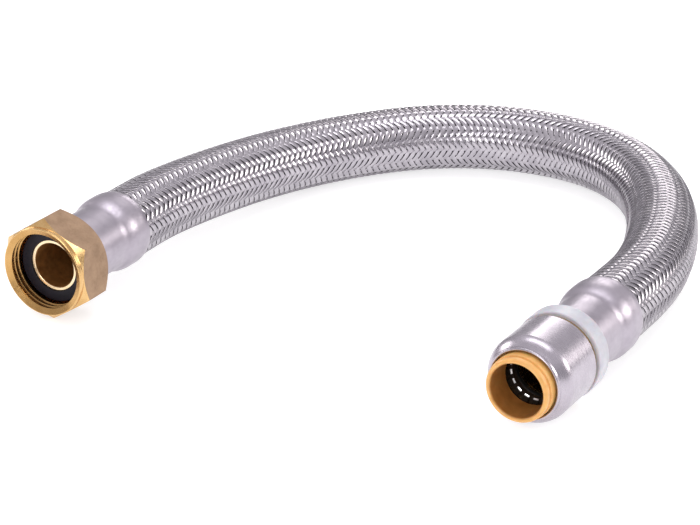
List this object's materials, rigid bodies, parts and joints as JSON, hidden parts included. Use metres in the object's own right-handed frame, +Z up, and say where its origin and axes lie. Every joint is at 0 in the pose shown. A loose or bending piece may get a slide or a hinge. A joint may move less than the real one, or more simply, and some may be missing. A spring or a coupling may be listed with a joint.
{
  "type": "braided supply line",
  "caption": "U-shaped stainless braided water hose with a swivelling female-thread hex nut on one end and a push-fit socket with release collar on the other.",
  "frame": {"origin": "on the inlet axis, in the middle of the first thread crest inside the nut's mouth", "axes": "+X out of the inlet nut's mouth along its axis, +Z up from the surface that the line lies on, +Y from the inlet end towards the outlet end, whose own axis is turned 2 degrees from +X towards -Y"},
  "size_m": [0.2018, 0.188, 0.0333],
  "materials": {
    "nut_brass": "machined, dull flats and bright chamfer",
    "nipple_brass": "turned, bright",
    "body_brass": "turned, bright",
    "washer_rubber": "matt moulded",
    "ferrule_steel": "satin pressed stainless",
    "shell_steel": "satin stainless, bright rolled lip",
    "braid_wire": "bright drawn stainless wire",
    "liner_rubber": "smooth extruded",
    "white_plastic": "translucent white, satin",
    "carrier_plastic": "plain moulded",
    "seal_rubber": "smooth moulded",
    "spring_steel": "bright stamped spring steel",
    "tan_plastic": "satin moulded acetal"
  },
  "bodies": {
    "connector": {"inlet_washer": "washer_rubber", "inlet_nipple": "nipple_brass", "inlet_ferrule": "ferrule_steel", "hose_liner": "liner_rubber", "hose_braid": "braid_wire", "outlet_ferrule": "ferrule_steel", "push_fit_body": "body_brass", "isolator_ring": "white_plastic", "push_fit_shell": "shell_steel", "ring_carrier": "carrier_plastic", "seal_protector": "carrier_plastic", "sealing_o_ring": "seal_rubber"},
    "nut": {"inlet_swivel_nut": "nut_brass"},
    "gripper": {"grab_ring": "spring_steel"},
    "collar": {"release_collar": "tan_plastic"}
  },
  "joints": [
    {"name": "nut_swivel", "type": "hinge", "parent": "connector", "child": "nut", "pos_m": [0, 0, 0], "axis": [1, 0, 0], "continuous": true},
    {"name": "gripper_turn", "type": "hinge", "parent": "connector", "child": "gripper", "pos_m": [-0.00004, 0.15854, -0.0031], "axis": [0.9994, -0.0348, 0], "continuous": true},
    {"name": "collar_press", "type": "slide", "parent": "gripper", "child": "collar", "axis": [-0.9994, 0.0348, 0], "range_m": [0, 0.002], "stiffness_N_per_m": 300}
  ]
}
